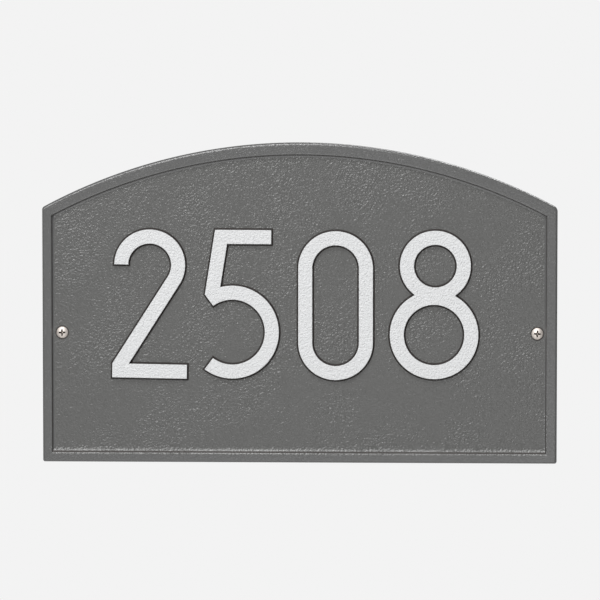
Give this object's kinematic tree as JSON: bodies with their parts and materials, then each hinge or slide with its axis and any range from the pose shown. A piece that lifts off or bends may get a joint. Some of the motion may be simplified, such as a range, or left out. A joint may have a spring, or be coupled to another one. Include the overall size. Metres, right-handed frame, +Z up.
{
  "type": "house number plaque",
  "caption": "Arched cast plaque with a raised rim, a pebbled sunk field and raised house numerals, held on a wall by two pan head screws.",
  "frame": {"origin": "middle of the bottom edge of the plaque's back, in the plane of the wall it hangs on", "axes": "+X to the right along the bottom edge, as seen from the front; +Y into the wall; +Z up, so the numerals face -Y"},
  "size_m": [0.3556, 0.0345, 0.2213],
  "materials": {
    "casting_paint": "satin grey paint over a pebbled sand cast skin",
    "numeral_paint": "satin silver paint on the faces of the numerals",
    "screw_steel": "bright pressed and rolled steel"
  },
  "bodies": {
    "root": {"plaque": "casting_paint", "screw_left": "screw_steel", "screw_right": "screw_steel"}
  },
  "joints": []
}
